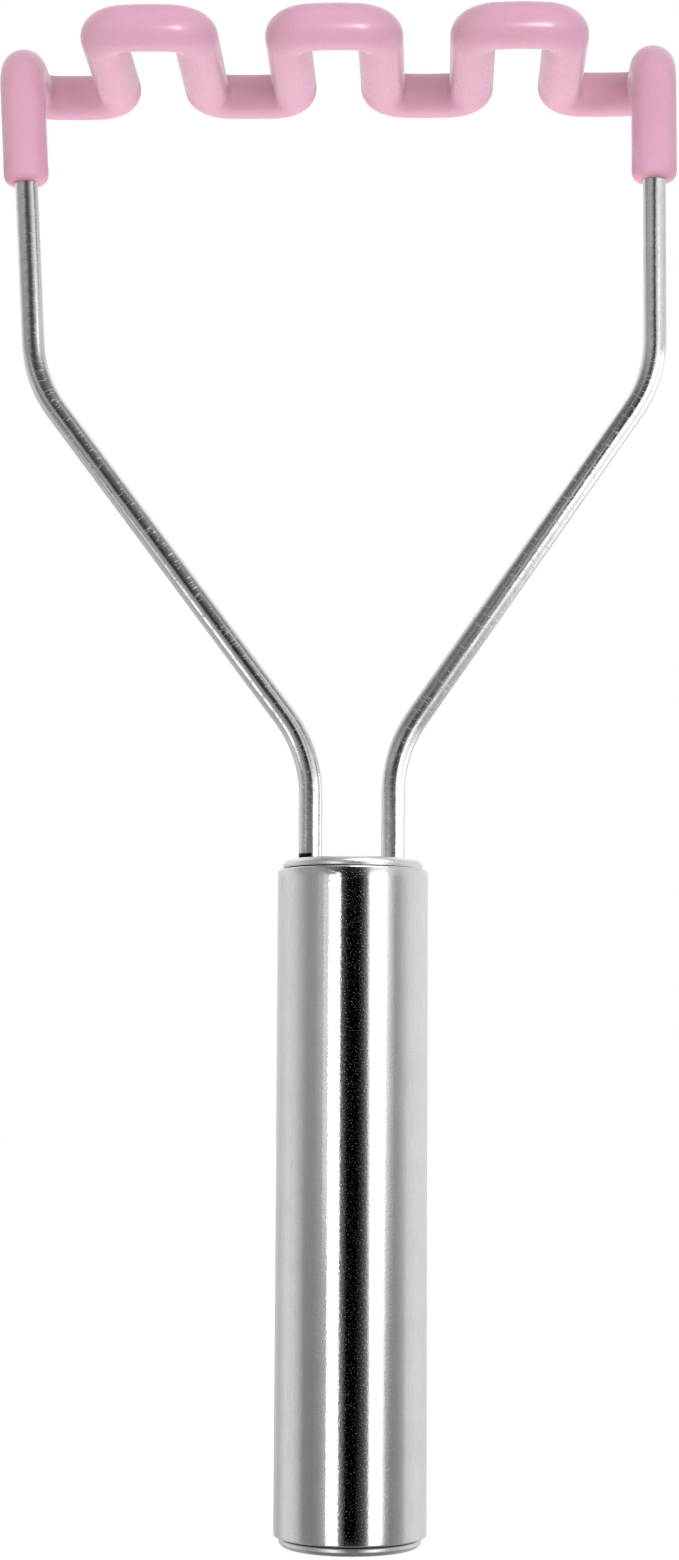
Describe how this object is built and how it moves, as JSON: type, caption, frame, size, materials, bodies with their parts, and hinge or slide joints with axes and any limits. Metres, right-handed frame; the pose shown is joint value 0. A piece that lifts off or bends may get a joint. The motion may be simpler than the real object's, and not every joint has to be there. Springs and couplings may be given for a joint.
{
  "type": "potato masher",
  "caption": "Hand potato masher: a bent steel wire frame with a flat silicone-coated serpentine head on a straight stainless tube handle with capped ends.",
  "frame": {"origin": "centre of the flat outer face of the butt cap, at the end of the handle away from the head", "axes": "+Z along the handle axis towards the head, +X along the long side of the head, +Y across the head; the flat of the head is square to Z"},
  "size_m": [0.1184, 0.0418, 0.2573],
  "materials": {
    "handle_steel": "polished tube with very fine grain along it",
    "cap_steel": "satin pressed sheet",
    "wire_steel": "satin drawn wire with fine marks across the bends",
    "pink_silicone": "smooth satin moulded silicone",
    "weld_steel": "dull weld"
  },
  "bodies": {
    "root": {"handle_tube": "handle_steel", "top_cap": "cap_steel", "butt_cap": "cap_steel", "masher_wire": "wire_steel", "silicone_coating": "pink_silicone", "leg_welds": "weld_steel"}
  },
  "joints": []
}
